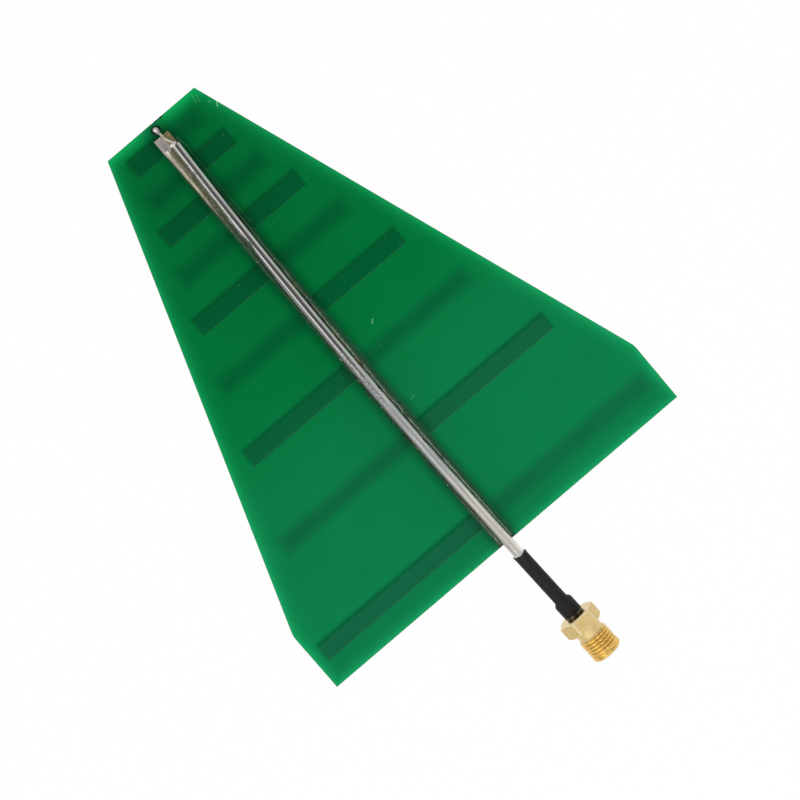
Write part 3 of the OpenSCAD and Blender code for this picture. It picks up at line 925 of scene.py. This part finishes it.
def seam_touch(side, reach, fall, y):
    """Angle round the cable, from below, at which the seam's flank meets it without cutting into it."""
    lumpy = noise.noise(Vector((side * 3.1, y * 350, 9.2)))
    tangent = atan2(reach, fall) + acos(min(1, (CABLE_R + 0.01 * MM) / hypot(reach, fall)))
    wish = SEAM_CLIMB + 16 * lumpy + (34 * ease(y, 22 * MM, 38 * MM) if side < 0 else 0)
    return min(tangent, radians(wish))


def seam_side(side, y):
    """Half of the seam's cross-section, from its foot up the flank and back under the cable."""
    axis = Vector((bow_x(y), y, CABLE_Z))

    def on_cable(angle, gap):
        return axis + (CABLE_R - gap) * Vector((side * sin(angle), 0, -cos(angle)))

    ragged = noise.noise(Vector((side * 7.3, y * 900, 1.7)))
    spread = SEAM_SPREAD if side > 0 else SEAM_SPREAD - 0.1 * ease(y, 28 * MM, 36 * MM)
    edge_x = side * (BOOM_HALF + (spread + 0.12 * ragged) * MM)
    touch = seam_touch(side, side * (edge_x - axis.x), CABLE_Z - BOOM_TOP_Z - SEAM_EDGE_T, y)
    top = on_cable(touch, 0.01 * MM)
    half = [Vector((edge_x, y, BOOM_TOP_Z))]
    for i in range(9):
        t = i / 8
        x = edge_x + (top.x - edge_x) * t
        ripple = 0.04 * MM * noise.noise(Vector((x * 1500, y * 700, side * 4))) * sin(pi * t)
        rise = SEAM_EDGE_T + (top.z - BOOM_TOP_Z - SEAM_EDGE_T) * t ** SEAM_HOLLOW
        half.append(Vector((x, y, BOOM_TOP_Z + rise + max(ripple, -0.5 * rise))))
    return half + [on_cable(touch * share, 0.02 * MM) for share in (0.75, 0.5, 0.25)]


def make_boom_solder():
    """Seam of solder along both sides of the cable, with a ragged foot and rippled flanks."""
    start, end = CABLE_TIP_Y + SEAM_START, WIDE_Y + SEAM_END
    steps = round((start - end) / SEAM_STEP)
    ys = [start + (end - start) * i / steps for i in range(steps + 1)]
    seam = loft([seam_side(-1, y) + seam_side(1, y)[::-1] for y in ys])
    piece = mesh_object("boom_solder_seam", *seam, boom_solder_material(), "solder", 60)
    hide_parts("boom_solder")


def drop(centre, size):
    """Flattened ball of solder."""
    rings = []
    for i in range(7):
        tilt = pi * (i + 0.25) / 6.5
        x, y, z = size.x * sin(tilt), size.y * sin(tilt), -size.z * cos(tilt)
        rings.append([centre + Vector((x * cos(a), y * sin(a), z)) for a in turns(10)])
    return loft(rings)


def wisp():
    """Wisp of solder that lies over the end of the cable."""
    over = [radians(a) for a in range(-112, 25, 8)]
    reach = 0.98 * CABLE_R
    route = [CABLE_END + Vector((reach * sin(a), (0.12 + 0.1 * sin(4 * a)) * MM,
                                 reach * cos(a))) for a in over]
    radii = []
    for i in range(len(over)):
        swell, uneven = sin(pi * (i + 0.5) / len(over)), noise.noise(Vector((i * 0.55, 3.3, 0)))
        radii.append((0.1 + 0.14 * swell + 0.16 * uneven) * MM)
    return tube(route, radii, 12)


def make_solder_drops():
    """Small beads on the seam, and a wisp with a few drops on the end of the cable."""
    chance = random.Random(11)
    shells = []
    for _ in range(14):
        side, y = chance.choice((-1, -1, 1)), chance.uniform(-44, 40) * MM
        width = chance.uniform(0.04, 0.08) * MM
        centre = seam_side(side, y)[chance.randint(3, 8)]
        shells.append(drop(centre, Vector((width, width * chance.uniform(2, 6), 0.8 * width))))
    shells.append(wisp())
    for place, width in (((-0.45, 0.15, 0.75), 0.3), ((-1, 0.3, -0.5), 0.3),
                         ((0.1, 0.3, 0.3), 0.3), ((-0.5, 0.5, -0.2), 0.2)):
        shells.append(drop(CABLE_END + Vector(place) * MM, Vector((width, 1.3 * width, width)) * MM))
    mesh_object("solder_drops", *joined(*shells), bpy.data.materials["solder"], "solder", 60)


LUMPS = ((60, 1, -36, 16), (40, -1, -44, -6), (40, -1, 22, 44))  # count, side, lowest and highest y in mm


def make_seam_lumps():
    """Lumps of solder and flux on the seam's flanks and up the cable's sides."""
    chance = random.Random(5)
    shells = []
    for count, side, low, high in LUMPS:
        for _ in range(count):
            y, climb = chance.uniform(low, high) * MM, radians(chance.uniform(35, 108))
            width = chance.uniform(0.08, 0.2) * MM
            reach = CABLE_R + 0.35 * MM * max(0, cos(climb))
            out = Vector((side * sin(climb), 0, -cos(climb)))
            centre = Vector((bow_x(y), y, CABLE_Z)) + reach * out
            if climb < radians(70):
                centre.x += side * chance.uniform(0.2, 0.55) * MM
            centre.z = max(centre.z, BOOM_TOP_Z + 0.1 * MM)
            shells.append(drop(centre, Vector((width, width * chance.uniform(1.2, 4.5), width))))
    mesh_object("seam_lumps", *joined(*shells), bpy.data.materials["boom_solder"], "solder", 60)


MOUTH_END = SLEEVE_START + 0.6 * MM
SLEEVE_THIN_R = CABLE_R + SLEEVE_T
MOUTH_SHAPE = ((-0.08, -0.03), (0.06, 0.06), (0.05, 0.3))  # mm outwards and along, from the tube's start
LIP_SHAPE = ((-0.05, 0.08), (0.03, 0.25), (-0.01, 0.42), (-0.08, 0.53), (-0.2, 0.6))  # from the lip's


def sleeve_profile():
    """Radius and station round the sleeve's wall: mouth, thin stretch, flare, ferrule, lip and inside."""
    inner, thin, wide = CABLE_R + 0.01 * MM, SLEEVE_THIN_R, FERRULE_R + SLEEVE_T
    on_ferrule = FERRULE_R + 0.001 * MM
    flare_s, full_s, lip_s = FERRULE_S - FLARE_LEN, FERRULE_S + 0.3 * MM, SLEEVE_END - LIP_LEN
    profile = [(inner, SLEEVE_START)] + [(thin + r * MM, SLEEVE_START + s * MM) for r, s in MOUTH_SHAPE]
    profile += [(thin, MOUTH_END + (flare_s - MOUTH_END) * i / 24) for i in range(25)]
    for i in range(1, 9):
        profile.append((thin + (wide - thin) * ease(i, 0, 8), flare_s + (full_s - flare_s) * i / 8))
    profile += [(wide, full_s + (lip_s - full_s) * i / 6) for i in range(1, 7)]
    profile += [(wide + r * MM, lip_s + s * MM) for r, s in LIP_SHAPE]
    return profile + [(on_ferrule, SLEEVE_END), (on_ferrule, FERRULE_S), (inner, flare_s)]


def sleeve_point(radius, s, angle):
    """Point of the sleeve's wall, moved by the slant of the mouth and by faint wrinkles."""
    place = Vector((cos(angle), sin(angle), s / MM))
    slant = place.x ** 2 if place.x > 0 else 0
    slant -= place.y ** 2 if place.y < 0 else 0
    mouth = MOUTH_CUT * slant + 0.05 * MM * noise.noise(Vector((2 * place.x, 2 * place.y, 0)))
    mouth *= ease(s, MOUTH_END, SLEEVE_START)
    wrinkle = 0.012 * MM * noise.noise(place * 1.3) if radius >= SLEEVE_THIN_R else 0
    return around_stub(radius + wrinkle, s + mouth, angle)


def make_sleeve():
    """Heat-shrink tube with a slanted mouth, a flare over the ferrule and a rolled lip."""
    rings = [[sleeve_point(radius, s, a) for a in turns(SLEEVE_SIDES)] for radius, s in sleeve_profile()]
    piece = mesh_object("heat_shrink_tube", *loft(rings, True), heat_shrink_material(), "heat_shrink", 50)
    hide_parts("heat_shrink_sleeve")


def hex_radius(angle):
    """Distance of the hexagon's side from the axis."""
    sixth = pi / 3
    return HEX_AF / 2 / cos((angle - HEX_TURN + sixth / 2) % sixth - sixth / 2)


def thread_radius(s, angle):
    """Radius of the barrel: a helical groove that ends before the smooth lead and the chamfers."""
    turn = (s - THREAD_S) / THREAD_PITCH - angle / (2 * pi)
    groove = max(0, 1 - abs(turn % 1 - 0.5) * 2 / GROOVE_SHARE) ** CREST_ROUNDING
    lead_s = FRONT_S - THREAD_LEAD
    fade = ease(s, lead_s, lead_s - 0.4 * MM) * ease(s, THREAD_S, THREAD_S + 0.3 * MM)
    chamfer = THREAD_R - THREAD_CHAMFER + min(THREAD_CHAMFER, FRONT_S - s, s - THREAD_S)
    return min(THREAD_R - THREAD_DEPTH * groove * fade, chamfer)


def jack_rows():
    """Rows of the jack's closed skin, each a function from angle to radius and station."""
    def plain(radius, s):
        return lambda angle: (radius, s)

    def hex_face(s):
        return lambda angle: (min(hex_radius(angle), HEX_FACE_R), s)

    def hex_edge(s, inwards):
        slope = inwards * HEX_SLOPE
        return lambda angle: (hex_radius(angle), s + slope * (hex_radius(angle) - HEX_FACE_R))

    def threaded(s):
        return lambda angle: (thread_radius(s, angle), s)

    rows = [plain(FERRULE_BORE_R, FERRULE_S), plain(FERRULE_R, FERRULE_S), plain(FERRULE_R, HEX_S)]
    rows += [hex_face(HEX_S), hex_edge(HEX_S, 1), hex_edge(NECK_S, -1), hex_face(NECK_S)]
    rows += [plain(NECK_R, NECK_S), plain(NECK_R, THREAD_S)]
    steps = round((FRONT_S - THREAD_S) / THREAD_PITCH * ROWS_PER_PITCH)
    rows += [threaded(THREAD_S + (FRONT_S - THREAD_S) * i / steps) for i in range(steps + 1)]
    rows += [plain(MOUTH_R, FRONT_S), plain(MOUTH_R, MOUTH_S)]
    rows += [plain(INSULATOR_R, MOUTH_S), plain(INSULATOR_R, WEB_S)]
    return rows + [plain(WEB_R, WEB_S), plain(WEB_R, SEAT_S), plain(FERRULE_BORE_R, SEAT_S)]


def make_jack():
    """Body of the jack; two columns of points beside each corner of the hexagon break its edge."""
    angles = [HEX_TURN + 2 * pi * (k + 0.5) / JACK_COLUMNS for k in range(JACK_COLUMNS)]
    rings = [[around_stub(*row(a), a) for a in angles] for row in jack_rows()]
    piece = mesh_object("jack_body", *loft(rings, True), gold_material(), "gold_plated_brass", 24)
    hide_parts("connector_body")


def dress_cad():
    """Finishes of the CAD nodes that stay."""
    copper, white = tinned_copper_material(), insulation_material()
    solder, gold = bpy.data.materials["solder"], bpy.data.materials["gold_plated_brass"]
    finishes = {
        "laminate": laminate_material(), "top_solder_mask": top_mask_material(),
        "bottom_solder_mask": bottom_mask_material(), "top_copper": copper, "bottom_copper": copper,
        "feed_via": copper, "cable_dielectric": white, "connector_insulator": white,
        "ferrule_solder": solder, "connector_contact": gold}
    for name, material in finishes.items():
        nodes[name].data.materials.clear()
        nodes[name].data.materials.append(material)


# Stage

FLOOR_HALF = 3.0
FLOOR_GAP = 0.02 * MM


def make_camera():
    """Camera at the photograph's angle, turned so that the boom runs down to the right."""
    camera = bpy.data.cameras.new("camera")
    camera.lens = CAMERA_LENS
    camera.clip_start = CAMERA_NEAR
    down_boom = Vector((0, -cos(CAMERA_TILT), sin(CAMERA_TILT)))
    across = Vector((1, 0, 0))
    right = cos(BOOM_ANGLE) * down_boom + sin(BOOM_ANGLE) * across
    above = cos(BOOM_ANGLE) * across - sin(BOOM_ANGLE) * down_boom
    turn = Matrix((right, above, right.cross(above))).transposed()
    holder = bpy.data.objects.new("camera", camera)
    holder.matrix_world = Matrix.Translation(CAMERA_PLACE) @ turn.to_4x4()
    link(holder)
    bpy.context.scene.camera = holder


def floor_material():
    """Matte floor that looks white to the camera and in reflections, with a faint shadow."""
    material = bpy.data.materials.new("floor")
    material.use_nodes = True
    material.node_tree.nodes.clear()
    net = Net(material.node_tree)
    matte = net.fill(net.node("BsdfDiffuse"), grey(0.8)).outputs[0]
    white = net.shaders(0.98, matte, net.node("Emission").outputs[0])
    path = net.node("LightPath").outputs
    seen = net.most(path["Is Camera Ray"], path["Is Glossy Ray"], path["Is Transmission Ray"])
    net.fill(net.node("OutputMaterial"), Surface=net.shaders(seen, matte, white))
    return material


def make_floor():
    """Plain floor just under the object."""
    h, z = FLOOR_HALF, cad_box[0].z - FLOOR_GAP
    mesh = bpy.data.meshes.new("floor")
    mesh.from_pydata([(-h, -h, z), (h, -h, z), (h, h, z), (-h, h, z)], [], [(0, 1, 2, 3)])
    floor = bpy.data.objects.new("floor", mesh)
    link(floor)
    mesh.materials.append(floor_material())


def make_light(name, place, size, power):
    """Soft square lamp that looks at the middle of the board."""
    light = bpy.data.lights.new(name, "AREA")
    light.shape = "RECTANGLE"
    light.size = light.size_y = size
    light.energy = power
    holder = bpy.data.objects.new(name, light)
    holder.location = place
    holder.rotation_euler = (-Vector(place)).to_track_quat("-Z", "Y").to_euler()
    link(holder)


def make_world():
    """Pale walls round a dim patch of ceiling, with a bright strip and a dark foot on the left."""
    world = bpy.data.worlds.new("studio")
    world.use_nodes = True
    net = Net(world.node_tree)
    across, along, _ = net.split(net.node("TexCoord").outputs["Generated"])
    sides = net.times(net.smooth(across, -0.43, -0.28), net.smooth(across, 0.88, 0.54))
    ceiling = net.times(sides, net.smooth(net.number("ABSOLUTE", along), 0.93, 0.4))
    walls = net.mix(net.smooth(across, -0.5, 0.3), (1.15, 1.15, 1.14, 1), (0.85, 0.86, 0.86, 1))
    walls = net.mix(net.smooth(across, -0.5, -0.95), walls, grey(0.36))
    strip = net.times(net.smooth(across, -0.74, -0.6), net.smooth(across, -0.38, -0.5))
    walls = net.mix(strip, walls, (1.65, 1.65, 1.64, 1))
    color = net.mix(ceiling, walls, grey(0.16))
    net.fill(net.tree.nodes["Background"], Color=color)
    bpy.context.scene.world = world


make_camera()
make_cable()
make_wire()
make_feed_solder()
make_boom_solder()
make_solder_drops()
make_seam_lumps()
make_sleeve()
make_jack()
dress_cad()
make_floor()
make_world()
make_light("key", place=(0.06, -0.5, 0.42), size=0.3, power=1.8)
make_light("glint_left", place=(-0.385, 0.216, 0.267), size=0.06, power=0.4)
make_light("glint_right", place=(0.33, 0.227, 0.325), size=0.06, power=0.3)
bpy.context.scene.view_settings.view_transform = "Standard"
